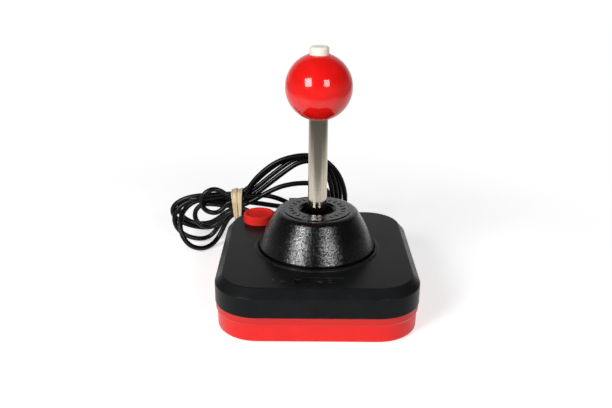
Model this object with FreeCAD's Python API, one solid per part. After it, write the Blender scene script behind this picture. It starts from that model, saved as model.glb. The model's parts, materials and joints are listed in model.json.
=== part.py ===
"""Joystick controller: a ball-topped stick on a square bevelled base, with two fire buttons.

Millimetres. The origin is on the table under the centre of the base, +X is to the player's right,
+Y is away from the player and +Z is up. Each physical piece is written to its own file in parts/.
"""
import math
import os

import FreeCAD
import Part

V = FreeCAD.Vector
X_AXIS = V(1, 0, 0)
Y_AXIS = V(0, 1, 0)
Z_AXIS = V(0, 0, 1)

# Base housing
base_width = 115.0
base_depth = 121.0
corner_radius = 24.6
lower_height = 15.3
upper_height = 16.2
bevel_in = 4.3
bevel_drop = 4.8
wall = 2.6
deck_thickness = 2.4
floor_thickness = 2.4
edge_round = 1.2
band_step_height = 10.3
band_inset = 0.4
band_lip = 1.3
seam_round = 0.3
skirt_inset = 1.1
skirt_draft = 0.25
skirt_round = 1.5
tongue_thickness = 1.2
tongue_height = 2.0
tongue_gap = 0.15

# Feet
foot_proud = 0.8
foot_seat = 0.7
foot_radius = 6.0
foot_gap = 0.1
foot_from_side = 20.0
foot_from_front = 15.0

# Housing screws and the bosses they pull together
boss_radius = 4.2
boss_from_side = 10.0
boss_off_middle = 27.0
screw_radius = 1.5
screw_head_radius = 2.8
screw_head_height = 2.0
screw_bite = 9.0
screw_gap = 0.05
head_gap = 0.3
cross_width = 0.8
cross_depth = 1.0

# Cone turret in the middle of the deck
cone_radius = 34.4
cone_height = 24.1
cone_foot_band = 2.2
cone_break_height = 12.2
cone_break_radius = 30.1
cone_shoulder_radius = 23.5
cone_shoulder_round = 4.0
cone_side_round = 70.0
cone_ring_radius = 19.8
cone_ring_height = 0.5
cone_wall = 2.6
cone_gap = 0.4
cone_flange = 3.5
cone_flange_thickness = 2.2
bead_width = 2.2
bead_height = 0.9
countersink = 1.6

# Stick
shaft_diameter = 11.1
shaft_bore = 4.4
knob_diameter = 38.1
knob_height = 96.6
knob_chamfer = 0.6
knob_insert_recess = 1.9
pivot_drop = 14.4
tilt_deg = 10.0
stick_gap = 0.5
pivot_ball_radius = 9.5
pivot_ball_half = 6.0
bush_thickness = 2.8
bush_half = 4.5
pivot_gap = 0.08
trunnion_radius = 1.5
trunnion_reach = 2.9
fit_gap = 0.05

# Pivot retainer, its screws and the centring grommet
seat_top = 6.5
seat_bottom = 5.6
socket_wall = 4.6
retainer_rim = 0.6
retainer_flange_thickness = 3.0
retainer_screw_radius = 1.1
retainer_screw_head = 2.1
retainer_screw_head_height = 1.4
retainer_screw_bite = 6.0
retainer_boss_radius = 4.6
retainer_boss_height = 7.0
grommet_thickness = 5.0
grommet_radius = 17.0
grommet_web = 1.4
grommet_lip = 1.5
grommet_lip_reach = 3.0
retainer_wall = 2.6

# Actuator and clip at the foot of the shaft
actuator_radius = 8.5
actuator_height = 8.0
clip_radius = 8.0
clip_thickness = 0.8
clip_groove = 0.8
shaft_tail = 0.6

# Fire button on top of the knob
button_radius = 5.5
button_pressed_proud = 1.55
button_round = 1.3
button_crown = 0.25
button_flange_radius = 6.5
button_flange_thickness = 2.0
button_travel = 2.0
button_gap = 0.25
knob_lip = 4.2
insert_wall = 1.5
insert_depth = 18.0
rod_radius = 1.6
rod_grip = 3.0
spring_wire = 0.7
spring_turns = 5
spring_turn_points = 8

# Fire button on the deck
deck_button_radius = 10.0
deck_button_pressed_proud = 2.8
deck_button_dish = 1.6
deck_button_dish_edge = 1.5
deck_button_rim = 1.6
deck_button_round = 0.9
deck_button_from_side = 20.5
deck_button_from_rear = 20.2
deck_button_gap = 0.35
deck_button_travel = 2.5
deck_button_skirt = 5.0
deck_button_flange = 1.5
deck_button_flange_thickness = 1.5
deck_button_stem_radius = 3.0
deck_button_stem = 6.0
collar_wall = 1.8
collar_clear = 0.2

# Fire selector slide
selector_x = -8.9
selector_from_front = 12.2
selector_slot_width = 8.7
selector_slot_depth = 5.6
selector_knob_width = 4.2
selector_gap = 0.25
selector_proud = 0.9
selector_grip_width = 0.5
selector_grip_depth = 0.4
selector_body_wall = 1.5
selector_body_height = 6.5
selector_shoe_height = 2.2
selector_shoe_reach = 0.9
selector_rib = 1.5

# Leaf switches and the board that carries them
plate_height = 6.8
plate_thickness = 1.6
plate_size = 62.0
plate_corner = 6.0
plate_hole_radius = 13.0
post_radius = 3.6
post_from_edge = 4.0
leaf_thickness = 0.3
leaf_width = 6.0
leaf_spacing = 2.2
leaf_clamp = 9.0
leaf_slab = 1.5
leaf_rest_gap = 0.7
leaf_tip_past = 7.0
leaf_clamp_from_edge = 5.0
leaf_above_plate = 3.9
leaf_tail = 5.0
contact_radius = 1.2
contact_height = 0.6
rivet_radius = 0.9
fire_rest_gap = 0.3
fire_pad_radius = 9.5
fire_clamp_from_edge = 4.0
deck_fire_clamp_from_button = 18.0
pillar_wall = 1.0

# Cord, its strain relief, hank and plug
cord_diameter = 3.4
cord_exit_x = 27.0
relief_neck_radius = 3.4
relief_flange_radius = 4.8
relief_flange_thickness = 1.8
relief_length = 15.0
relief_tip_radius = 2.7
relief_socket = 5.0
relief_slit = 0.9
relief_slit_pitch = 2.4
relief_slit_depth = 1.6
band_width = 8.0
band_thickness = 1.2
plug_entry = (21.6, 114.0, 7.4)
plug_heading_deg = 180.0
plug_boot_length = 15.0
plug_boot_radius = 4.6
plug_body = (26.0, 33.0, 14.4)
plug_body_round = 6.0
plug_shoulder = 8.0
plug_taper = 5.0
plug_grip_width = 1.4
plug_grip_depth = 0.5
plug_grip_pitch = 3.0
plug_shell_width = 16.9
plug_shell_height = 8.3
plug_shell_length = 6.0
plug_shell_wall = 0.5
plug_shell_slant = 1.4
plug_shell_round = 1.8
plug_core_back = 4.0
plug_core_short = 0.3
plug_flange = (1.2, 30.8, 12.5)
plug_pin_pitch = 2.77
plug_row_pitch = 2.84
plug_pin_radius = 0.6
plug_pin_depth = 4.5
plug_screw_hole = 1.5
plug_screw_pitch = 25.0

# Hank: its neck in the band, and its loops as middle x and z, half lengths left and right,
# half heights up and down
hank_middle = (-54.0, 75.25, 30.0)
hank_neck = (16.0, 10.4, 20.8)
hank_neck_round = 3.0
hank_column = 3.5
hank_right_turn = (-9.0, 33.0, 38.8, 29.8, 31.8, 31.2)
hank_right_opening = (-5.0, 33.0, 31.0, 19.0, 25.2, 23.5)
hank_single_turn = (-8.0, 31.0, 32.0, 17.0, 16.3, 14.0)
hank_left_turn = (-79.0, 22.5, 22.0, 14.0, 12.5, 12.0)
hank_left_opening = (-77.0, 24.0, 17.5, 9.0, 9.0, 8.5)
hank_low_turn = (-76.0, 19.0, 16.5, 14.0, 15.5, 19.6)
hank_low_lean_deg = 25.0
hank_curl = (-69.0, 37.5, 8.5, 6.0, 5.0, 5.5)
hank_curl_rows = (32.5, 36.5)

# Levels worked out from the sizes above
lower_z = foot_proud
split_z = lower_z + lower_height
deck_z = split_z + upper_height
deck_under = deck_z - deck_thickness
floor_z = lower_z + floor_thickness
cone_top = deck_z + cone_height
pivot_z = cone_top - pivot_drop
knob_z = deck_z + knob_height
knob_radius = knob_diameter / 2
shaft_radius = shaft_diameter / 2
plate_z = floor_z + plate_height
plate_top = plate_z + plate_thickness
half_width = base_width / 2
half_depth = base_depth / 2
button_proud = button_travel + button_pressed_proud
deck_button_proud = deck_button_travel + deck_button_pressed_proud
post_from_middle = plate_size / 2 - post_from_edge
leaf_clamp_from_middle = plate_size / 2 - leaf_clamp_from_edge - leaf_clamp
fire_clamp_from_middle = plate_size / 2 - fire_clamp_from_edge - leaf_clamp

# The stick clears the cone's hole when both tilts are at their ends
corner_tilt = math.acos(math.cos(math.radians(tilt_deg)) ** 2)
stick_hole_radius = (
    pivot_drop * math.tan(corner_tilt) + shaft_radius / math.cos(corner_tilt) + stick_gap
)


def corner_path(points, place):
    """A closed wire through (u, v, radius) corners, each rounded by a tangent arc."""
    flat = [V(u, v, 0) for u, v, _ in points]
    stops = []
    for i, (_, _, radius) in enumerate(points):
        here = flat[i]
        to_last = (flat[i - 1] - here).normalize()
        to_next = (flat[(i + 1) % len(flat)] - here).normalize()
        if radius <= 0:
            stops.append((here, None, here))
            continue
        half = to_last.getAngle(to_next) / 2
        reach = radius / math.tan(half)
        inward = (to_last + to_next).normalize()
        bulge = here + inward * (radius / math.sin(half) - radius)
        stops.append((here + to_last * reach, bulge, here + to_next * reach))
    edges = []
    for i, (start, bulge, end) in enumerate(stops):
        if bulge is not None:
            edges.append(Part.Arc(place(start), place(bulge), place(end)).toShape())
        after = stops[(i + 1) % len(stops)][0]
        if end.distanceToPoint(after) > 1e-6:
            edges.append(Part.LineSegment(place(end), place(after)).toShape())
    return Part.Wire(edges)


def upright(p):
    """Puts a sketch point on the XZ plane."""
    return V(p.x, 0, p.y)


def sketch(points, place=upright):
    return Part.Face(corner_path(points, place))


def turned(points):
    """Turns a (radius, height, rounding) outline about the Z axis."""
    return sketch(points).revolve(V(), Z_AXIS, 360)


def cylinder(radius, bottom, top, x=0.0, y=0.0):
    return Part.makeCylinder(radius, top - bottom, V(x, y, bottom))


def block(x0, x1, y0, y1, z0, z1):
    return Part.makeBox(x1 - x0, y1 - y0, z1 - z0, V(x0, y0, z0))


def rounded_slab(width, depth, radius, bottom, top, x=0.0, y=0.0):
    """A plate with rounded corners, lying flat."""
    a, b = width / 2, depth / 2
    corners = [(-a, -b, radius), (a, -b, radius), (a, b, radius), (-a, b, radius)]
    face = sketch(corners, lambda p: V(p.x + x, p.y + y, bottom))
    return face.extrude(V(0, 0, top - bottom))


def inset_slab(inset, bottom, top):
    """A plate that follows the base's outline, set in from it."""
    return rounded_slab(
        base_width - 2 * inset, base_depth - 2 * inset, corner_radius - inset, bottom, top
    )


def joined(shapes):
    return shapes[0].multiFuse(shapes[1:]).removeSplitter()


def four_ways(x, y):
    return [(x, y), (-x, y), (-x, -y), (x, -y)]


def around(shape, angle):
    turned_shape = shape.copy()
    turned_shape.rotate(V(), Z_AXIS, angle)
    return turned_shape


def wall_ring(points):
    """Carries an (inset, height, rounding) section round the base's outline."""
    cx, cy = half_width - corner_radius, half_depth - corner_radius
    face = sketch(points, lambda p: V(half_width - p.x, cy, p.y))
    side = face.extrude(V(0, -2 * cy, 0))
    right_corner = face.revolve(V(cx, cy, 0), Z_AXIS, 90)
    rear_face = face.copy()
    rear_face.rotate(V(cx, cy, 0), Z_AXIS, 90)
    rear = rear_face.extrude(V(-2 * cx, 0, 0))
    left_face = rear_face.copy()
    left_face.translate(V(-2 * cx, 0, 0))
    left_corner = left_face.revolve(V(-cx, cy, 0), Z_AXIS, 90)
    half = [side, right_corner, rear, left_corner]
    return joined(half + [around(s, 180) for s in half])


def cross_screw(radius, head_radius, head_height, length, recess):
    """A screw that points up from z = 0, its head below, with a cross recess in the head."""
    body = cylinder(radius, 0, length).fuse(cylinder(head_radius, -head_height, 0))
    reach = head_radius * 0.65
    arm = block(-reach, reach, -cross_width / 2, cross_width / 2, -head_height, recess - head_height)
    return body.cut(arm).cut(around(arm, 90)).removeSplitter()


def moved(shape, x, y, z):
    copy = shape.copy()
    copy.translate(V(x, y, z))
    return copy


def tube(points, diameter):
    """A tube of straight runs joined by the largest tangent arcs that the runs allow."""
    edges = []
    radii = []
    last = points[0]
    for i in range(1, len(points) - 1):
        here = points[i]
        back = points[i - 1] - here
        ahead = points[i + 1] - here
        run = 0.45 * min(back.Length, ahead.Length)
        half = back.getAngle(ahead) / 2
        radii.append(run * math.tan(half))
        start = here + V(back).normalize() * run
        end = here + V(ahead).normalize() * run
        inward = (V(back).normalize() + V(ahead).normalize()).normalize()
        bulge = here + inward * (radii[-1] / math.sin(half) - radii[-1])
        edges.append(Part.LineSegment(last, start).toShape())
        edges.append(Part.Arc(start, bulge, end).toShape())
        last = end
    edges.append(Part.LineSegment(last, points[-1]).toShape())
    path = Part.Wire(edges)
    way = (points[1] - points[0]).normalize()
    ring = Part.Wire(Part.Circle(points[0], way, diameter / 2).toShape())
    return path.makePipeShell([ring], True, False), path.Length, radii


def save(name, shape):
    if not shape.isValid():
        raise ValueError(f"{name} is not a valid solid")
    shape.exportStep(f"parts/{name}.step")
    print(f"{name}: {len(shape.Solids)} solid(s), {shape.Volume:.1f} mm3")


# Lower housing: a red tray with a stepped band, bosses, posts and a tongue for the upper housing
def lower_housing():
    step_z = lower_z + band_step_height
    section = [
        (skirt_inset + skirt_draft, lower_z, skirt_round),
        (skirt_inset, step_z, 0),
        (band_inset, step_z + band_lip, band_lip / 2),
        (band_inset, split_z, seam_round),
        (wall - tongue_thickness, split_z, 0),
        (wall - tongue_thickness, split_z + tongue_height, 0),
        (wall, split_z + tongue_height, 0),
        (wall, floor_z, 0),
        (wall + 3, floor_z, 0),
        (wall + 3, lower_z, 0),
    ]
    body = [wall_ring(section), inset_slab(wall + 2, lower_z, floor_z)]
    for x, y in boss_places:
        body.append(cylinder(boss_radius, floor_z - 1, split_z, x, y))
    for x, y in post_places:
        body.append(cylinder(post_radius, floor_z - 1, plate_z, x, y))
    body.append(
        block(
            deck_fire_x - leaf_clamp - pillar_wall,
            deck_fire_x + pillar_wall,
            deck_button_y - leaf_width / 2 - 2 * pillar_wall,
            deck_button_y + leaf_width / 2 + 2 * pillar_wall,
            floor_z - 1,
            deck_fire_seat,
        )
    )
    tray = joined(body)
    cuts = []
    for x, y in boss_places:
        cuts.append(cylinder(screw_radius + head_gap, lower_z - 1, split_z + 1, x, y))
        cuts.append(cylinder(screw_head_radius + head_gap, lower_z - 1, screw_seat_z, x, y))
    for x, y in post_places:
        cuts.append(cylinder(retainer_screw_radius + screw_gap, post_screw_end - 0.5, plate_z + 1, x, y))
    for x, y in foot_places:
        cuts.append(cylinder(foot_radius + foot_gap, lower_z - 1, lower_z + foot_seat, x, y))
    cuts.append(cord_notch())
    return tray.cut(Part.makeCompound(cuts)).removeSplitter()


# Upper housing: a black bevelled shell with the deck, button collar, selector slot and bosses
def upper_housing():
    slope = math.hypot(bevel_in, bevel_drop)
    off_in = wall * bevel_drop / slope
    off_down = wall * bevel_in / slope
    rise = bevel_drop / bevel_in
    knee_z = deck_z - bevel_drop - off_down + (wall - off_in) * rise
    deck_in = off_in + (off_down + bevel_drop - deck_thickness) / rise
    rebate_z = split_z + tongue_height + tongue_gap
    rebate_in = wall - tongue_thickness - tongue_gap
    section = [
        (0, split_z, seam_round),
        (0, deck_z - bevel_drop, edge_round),
        (bevel_in, deck_z, edge_round),
        (deck_in + 2, deck_z, 0),
        (deck_in + 2, deck_under, 0),
        (deck_in, deck_under, 0),
        (wall, knee_z, 0),
        (wall, rebate_z, 0),
        (rebate_in, rebate_z, 0),
        (rebate_in, split_z, 0),
    ]
    bead = [
        (opening_radius, deck_z - 1, 0),
        (opening_radius + bead_width, deck_z - 1, 0),
        (opening_radius + bead_width, deck_z + bead_height, 0.8 * bead_height),
        (opening_radius, deck_z + bead_height, 0.8 * bead_height),
    ]
    body = [wall_ring(section), inset_slab(deck_in + 1, deck_under, deck_z), turned(bead)]
    for x, y in boss_places:
        body.append(cylinder(boss_radius, split_z, deck_z - 1, x, y))
    collar = deck_button_radius + deck_button_gap
    body.append(cylinder(collar + collar_wall, collar_z, deck_z - 1, deck_button_x, deck_button_y))
    for side in (-1, 1):
        near = selector_x + side * (selector_body_width / 2 + fit_gap)
        far = near + side * selector_rib
        body.append(
            block(
                min(near, far),
                max(near, far),
                selector_y - selector_body_depth / 2,
                selector_y + selector_body_depth / 2,
                deck_under - selector_body_height,
                deck_z - 1,
            )
        )
    shell = joined(body)
    cuts = [
        cylinder(opening_radius, deck_under - 1, deck_z + 1),
        cylinder(collar, collar_z - 1, deck_z + 1, deck_button_x, deck_button_y),
        rounded_slab(
            selector_slot_width, selector_slot_depth, 0.6, deck_under - 1, deck_z + 1,
            selector_x, selector_y,
        ),
        cord_notch(),
    ]
    for x, y in boss_places:
        cuts.append(cylinder(screw_radius + screw_gap, split_z - 1, split_z + screw_bite + 0.5, x, y))
    return shell.cut(Part.makeCompound(cuts)).removeSplitter()


# Cone: a hollow turret with a raised ring on top, a flange under the deck and the upper half of the
# pivot's seat inside
def stick_cone():
    foot_z = deck_z + cone_foot_band
    break_z = deck_z + cone_break_height
    flange_z = deck_under - cone_flange_thickness
    inner_break = cone_break_radius - cone_wall
    inner_shoulder = cone_shoulder_radius - 0.7 * cone_wall
    outer = [
        (0, flange_z, 0),
        (opening_radius + cone_flange, flange_z, 0),
        (opening_radius + cone_flange, deck_under, 0),
        (cone_radius, deck_under, 0),
        (cone_radius, foot_z, 0.5),
        (cone_break_radius, break_z, cone_side_round),
        (cone_shoulder_radius, cone_top - cone_ring_height, cone_shoulder_round),
        (cone_ring_radius, cone_top - cone_ring_height, 0),
        (cone_ring_radius, cone_top, 0.3 * cone_ring_height),
        (0, cone_top, 0),
    ]
    inner = [
        (socket_radius, flange_z - 1, 0),
        (cone_radius - cone_wall, flange_z - 1, 0),
        (cone_radius - cone_wall, foot_z - 0.5, 0),
        (inner_break, break_z - 0.5, 0),
        (inner_shoulder, cone_top - cone_wall, 0),
        (socket_radius, cone_top - cone_wall, 0),
    ]
    solid = turned(outer)
    bosses = []
    for angle in retainer_angles:
        boss = cylinder(retainer_boss_radius, pivot_z, pivot_z + retainer_boss_height, retainer_screw_ring)
        bosses.append(around(boss, angle))
    shell = joined([solid.cut(turned(inner))] + bosses)
    throat_radius = math.sqrt(seat_radius ** 2 - seat_top ** 2)
    cuts = [
        cylinder(socket_radius + 1, flange_z - 1, pivot_z),
        Part.makeSphere(seat_radius, V(0, 0, pivot_z)).common(
            cylinder(seat_radius + 1, pivot_z - seat_radius, pivot_z + seat_top)
        ),
        Part.makeCone(
            throat_radius, stick_hole_radius, cone_top - cone_wall - pivot_z - seat_top + 0.1,
            V(0, 0, pivot_z + seat_top - 0.1),
        ),
        cylinder(stick_hole_radius, cone_top - cone_wall - 0.1, cone_top + 1),
        Part.makeCone(
            stick_hole_radius, stick_hole_radius + countersink, countersink,
            V(0, 0, cone_top - countersink),
        ),
        trunnion_seat(),
    ]
    for angle in retainer_angles:
        pilot = cylinder(
            retainer_screw_radius + screw_gap, pivot_z - 1, pivot_z + retainer_screw_bite + 0.5,
            retainer_screw_ring,
        )
        cuts.append(around(pilot, angle))
    cone = shell
    for cut in cuts:
        cone = cone.cut(cut)
    return cone.removeSplitter()


# Retainer: the lower half of the pivot's seat, with a cup under it for the centring grommet
def pivot_retainer():
    seat_foot = pivot_z - seat_bottom
    cup_top = seat_foot - grommet_web
    cup_foot = cup_top - grommet_thickness - 2 * fit_gap
    cup_radius = grommet_radius + 2 * fit_gap
    rim = retainer_screw_ring + retainer_screw_head + retainer_rim
    outline = [
        (0, cup_foot - grommet_lip, 0),
        (retainer_outside, cup_foot - grommet_lip, 0.8),
        (retainer_outside, pivot_z - retainer_flange_thickness, 0),
        (rim, pivot_z - retainer_flange_thickness, 0),
        (rim, pivot_z, 0),
        (0, pivot_z, 0),
    ]
    body = turned(outline)
    cuts = [
        Part.makeSphere(seat_radius, V(0, 0, pivot_z)).common(
            cylinder(seat_radius + 1, seat_foot, pivot_z + 1)
        ),
        cylinder(math.sqrt(seat_radius ** 2 - seat_bottom ** 2), cup_top - 1, seat_foot + 0.1),
        cylinder(cup_radius, cup_foot, cup_top),
        cylinder(cup_radius - grommet_lip_reach, cup_foot - grommet_lip - 1, cup_foot + 0.1),
        trunnion_seat(),
    ]
    for angle in retainer_angles:
        hole = cylinder(retainer_screw_radius + head_gap, pivot_z - 9, pivot_z + 1, retainer_screw_ring)
        cuts.append(around(hole, angle))
    for cut in cuts:
        body = body.cut(cut)
    return body.removeSplitter()


def centring_grommet():
    top = pivot_z - seat_bottom - grommet_web - fit_gap
    inner = shaft_radius + fit_gap
    waist = grommet_thickness / 4
    return turned([
        (inner, top - grommet_thickness, 0.6),
        (grommet_radius, top - grommet_thickness, 0.6),
        (grommet_radius, top, 0.6),
        (grommet_radius * 0.7, top, 0),
        (grommet_radius * 0.55, top - waist, 0),
        (inner, top - waist / 2, 0),
    ])


def trunnions(way, radius, reach):
    """A pin through the pivot's centre, out to a reach on both sides."""
    return Part.makeCylinder(radius, 2 * reach, V(0, 0, pivot_z) - way * reach, way)


def trunnion_seat():
    """What the cone and the retainer each give up, half and half, for the bush's trunnions."""
    return trunnions(X_AXIS, trunnion_radius + fit_gap, bush_radius + trunnion_reach + fit_gap)


# Bush: a ring that rocks fore and aft on two trunnions in the seat and carries the ball's own two
def pivot_bush():
    ring = Part.makeSphere(bush_radius, V(0, 0, pivot_z)).common(
        cylinder(bush_radius + 1, pivot_z - bush_half, pivot_z + bush_half)
    )
    ring = joined([ring, trunnions(X_AXIS, trunnion_radius, bush_radius + trunnion_reach)])
    ring = ring.cut(Part.makeSphere(pivot_ball_radius + pivot_gap, V(0, 0, pivot_z)))
    return ring.cut(trunnions(Y_AXIS, trunnion_radius + fit_gap, bush_radius + 1)).removeSplitter()


def pivot_ball():
    ball = Part.makeSphere(pivot_ball_radius, V(0, 0, pivot_z)).common(
        cylinder(pivot_ball_radius + 1, pivot_z - pivot_ball_half, pivot_z + pivot_ball_half)
    )
    pin_reach = pivot_ball_radius + bush_thickness - fit_gap
    ball = joined([ball, trunnions(Y_AXIS, trunnion_radius, pin_reach)])
    return ball.cut(cylinder(shaft_radius + fit_gap, pivot_z - 20, pivot_z + 20)).removeSplitter()


def shaft():
    tube = turned([
        (shaft_bore / 2, shaft_foot, 0),
        (shaft_radius, shaft_foot, 0.5),
        (shaft_radius, shaft_head, 0.3),
        (shaft_bore / 2, shaft_head, 0),
    ])
    groove = cylinder(shaft_radius + 1, clip_z - fit_gap, clip_z + clip_thickness + fit_gap)
    groove = groove.cut(cylinder(shaft_radius - clip_groove, clip_z - 1, clip_z + clip_thickness + 1))
    return tube.cut(groove).removeSplitter()


def shaft_clip():
    ring = cylinder(clip_radius, clip_z, clip_z + clip_thickness)
    ring = ring.cut(cylinder(shaft_radius - clip_groove + fit_gap, clip_z - 1, clip_z + 2))
    mouth = (shaft_radius - clip_groove) * 0.8
    return ring.cut(block(0, clip_radius + 1, -mouth, mouth, clip_z - 1, clip_z + 2)).removeSplitter()


def actuator():
    foot = clip_z + clip_thickness + fit_gap
    return turned([
        (shaft_radius + fit_gap, foot, 0),
        (actuator_radius, foot, 0.8),
        (actuator_radius, foot + actuator_height, 1.2),
        (shaft_radius + fit_gap, foot + actuator_height, 0),
    ])


# Knob: a ball bored from below for the insert and from above for the button
def ball_knob():
    ball = Part.makeSphere(knob_radius, V(0, 0, knob_z))
    bore = insert_radius + fit_gap
    mouth_z = knob_z - math.sqrt(knob_radius ** 2 - bore ** 2)
    cuts = [
        cylinder(bore, mouth_z - 5, button_seat_z),
        cylinder(button_radius + button_gap, button_seat_z - 0.1, knob_z + knob_radius + 1),
        Part.makeCone(
            button_radius + button_gap, button_radius + button_gap + 2, 2,
            V(0, 0, knob_rim_z - knob_chamfer),
        ),
    ]
    for cut in cuts:
        ball = ball.cut(cut)
    return ball.removeSplitter()


def knob_insert():
    foot = shaft_head - insert_depth
    return turned([
        (shaft_radius + fit_gap, foot, 0),
        (insert_radius, foot, 0.4),
        (insert_radius, shaft_head, 0),
        (shaft_radius + fit_gap, shaft_head, 0),
    ])


def top_button():
    flange_foot = button_seat_z - fit_gap - button_flange_thickness
    return turned([
        (rod_radius + fit_gap, flange_foot, 0),
        (button_flange_radius, flange_foot, 0.3),
        (button_flange_radius, button_seat_z - fit_gap, 0.3),
        (button_radius, button_seat_z - fit_gap, 0),
        (button_radius, button_top, button_round),
        (0, button_top + button_crown, 0),
        (0, rod_top, 0),
        (rod_radius + fit_gap, rod_top, 0),
    ])


def plunger_rod():
    return turned([
        (0, rod_foot, 0),
        (rod_radius, rod_foot, 0.6),
        (rod_radius, rod_top - fit_gap, 0.3),
        (0, rod_top - fit_gap, 0),
    ])


# Return spring: a helix of wire between the shaft's end and the button's flange
def plunger_spring():
    flange_foot = button_seat_z - fit_gap - button_flange_thickness
    foot = shaft_head + spring_wire / 2
    room = flange_foot - spring_wire / 2 - foot
    radius = (rod_radius + insert_radius) / 2
    count = spring_turns * spring_turn_points
    points = []
    for i in range(count + 1):
        angle = 2 * math.pi * i / spring_turn_points
        points.append(V(radius * math.cos(angle), radius * math.sin(angle), foot + room * i / count))
    coil, _, _ = tube(points, spring_wire - fit_gap)
    return coil


def deck_button():
    top = deck_z + deck_button_proud
    skirt = deck_z - deck_button_skirt
    flange = deck_button_radius + deck_button_flange
    rim = deck_button_radius - deck_button_rim
    body = turned([
        (0, skirt - deck_button_flange_thickness - deck_button_stem, 0),
        (deck_button_stem_radius, skirt - deck_button_flange_thickness - deck_button_stem, 0.6),
        (deck_button_stem_radius, skirt - deck_button_flange_thickness, 0),
        (flange, skirt - deck_button_flange_thickness, 0),
        (flange, skirt, 0),
        (deck_button_radius, skirt, 0),
        (deck_button_radius, top, deck_button_round),
        (rim, top, 0.4),
        (rim - deck_button_dish_edge, top - 0.75 * deck_button_dish, deck_button_dish_edge),
        (0, top - deck_button_dish, 0),
    ])
    return moved(body, deck_button_x, deck_button_y, 0)


def selector_slider():
    knob_x = selector_x + (selector_slot_width - selector_knob_width) / 2 - selector_gap
    half = selector_knob_width / 2
    deep = selector_slot_depth / 2 - selector_gap
    shoe_top = deck_under - 2 * fit_gap
    knob = block(
        knob_x - half, knob_x + half, selector_y - deep, selector_y + deep,
        shoe_top - 0.5, deck_z + selector_proud,
    )
    shoe = block(
        knob_x - half - selector_shoe_reach, knob_x + half + selector_shoe_reach,
        selector_y - deep, selector_y + deep, shoe_top - selector_shoe_height, shoe_top,
    )
    slider = joined([knob, shoe])
    grip = []
    for step in (-1, 0, 1):
        at = knob_x + step * half * 0.55
        grip.append(
            block(
                at - selector_grip_width / 2, at + selector_grip_width / 2,
                selector_y - deep - 1, selector_y + deep + 1,
                deck_z + selector_proud - selector_grip_depth, deck_z + selector_proud + 1,
            )
        )
    return slider.cut(Part.makeCompound(grip)).removeSplitter()


def selector_body():
    hollow_width = selector_body_width - 2 * selector_body_wall
    hollow_depth = selector_body_depth - 2 * selector_body_wall
    case = block(
        selector_x - selector_body_width / 2, selector_x + selector_body_width / 2,
        selector_y - selector_body_depth / 2, selector_y + selector_body_depth / 2,
        deck_under - selector_body_height, deck_under,
    )
    hollow = block(
        selector_x - hollow_width / 2, selector_x + hollow_width / 2,
        selector_y - hollow_depth / 2, selector_y + hollow_depth / 2,
        deck_under - selector_shoe_height - 1.0, deck_under + 1,
    )
    lugs = []
    for step in (-1, 0, 1):
        at = selector_x + step * hollow_width / 3
        lugs.append(
            block(at - 0.9, at + 0.9, selector_y - 0.3, selector_y + 0.3,
                  deck_under - selector_body_height - 4, deck_under - selector_body_height + 0.5)
        )
    return joined([case.cut(hollow)] + lugs)


# Leaf switch: two sprung blades clamped between slabs of insulator, with a contact on each blade
def leaf_switch(reach, pad_at=None, foot=None, inner_slab=leaf_slab, outer_slab=leaf_slab):
    """Local x runs from the clamp to the tip and z is the way the moving blade is pushed."""
    half = leaf_width / 2
    low = -half - 1 if foot is None else -foot
    moving_z = 0
    fixed_z = leaf_thickness + leaf_spacing
    end_z = fixed_z + leaf_thickness
    slabs = [
        block(0, leaf_clamp, low, half + 1, -inner_slab, moving_z),
        block(0, leaf_clamp, low, half + 1, leaf_thickness, fixed_z),
        block(0, leaf_clamp, low, half + 1, end_z, end_z + outer_slab),
    ]
    tip = leaf_clamp + reach
    contact_x = tip - 2 * contact_radius
    moving = [block(-leaf_tail, tip, -half, half, moving_z, leaf_thickness)]
    moving.append(cylinder(contact_radius, leaf_thickness - 0.1, leaf_thickness + contact_height, contact_x))
    if pad_at is not None:
        moving.append(cylinder(fire_pad_radius, moving_z, leaf_thickness, leaf_clamp + pad_at))
    fixed = [block(-leaf_tail, tip, -half, half, fixed_z, end_z)]
    fixed.append(cylinder(contact_radius, fixed_z - contact_height, fixed_z + 0.1, contact_x))
    holes = []
    pins = []
    for share in (0.25, 0.75):
        at = leaf_clamp * share
        holes.append(cylinder(rivet_radius + fit_gap, -inner_slab - 1, end_z + outer_slab + 1, at))
        pins.append(cylinder(rivet_radius, -inner_slab, end_z + outer_slab, at))
    drill = Part.makeCompound(holes)
    return {
        "clamp": Part.makeCompound([s.cut(drill) for s in slabs]),
        "moving": joined(moving).cut(drill),
        "fixed": joined(fixed).cut(drill),
        "pins": Part.makeCompound(pins),
    }


def placed(switch, origin, x_way, y_way, z_way):
    """Stands a leaf switch at an origin with its local axes along three ways."""
    matrix = FreeCAD.Matrix(
        x_way.x, y_way.x, z_way.x, origin.x,
        x_way.y, y_way.y, z_way.y, origin.y,
        x_way.z, y_way.z, z_way.z, origin.z,
        0, 0, 0, 1,
    )
    return {name: shape.transformed(matrix) for name, shape in switch.items()}


def direction_switches():
    """One switch on each side of the actuator, the same one turned in quarters."""
    reach = leaf_clamp_from_middle + leaf_tip_past
    one = leaf_switch(reach, foot=leaf_above_plate + leaf_width / 2)
    origin = V(
        actuator_radius + leaf_rest_gap,
        -leaf_clamp_from_middle - leaf_clamp,
        plate_top + leaf_above_plate + leaf_width / 2,
    )
    first = placed(one, origin, Y_AXIS, Z_AXIS, X_AXIS)
    quarters = {"right": 0, "rear": 90, "left": 180, "front": 270}
    return {
        side: {name: around(shape, angle) for name, shape in first.items()}
        for side, angle in quarters.items()
    }


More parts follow.
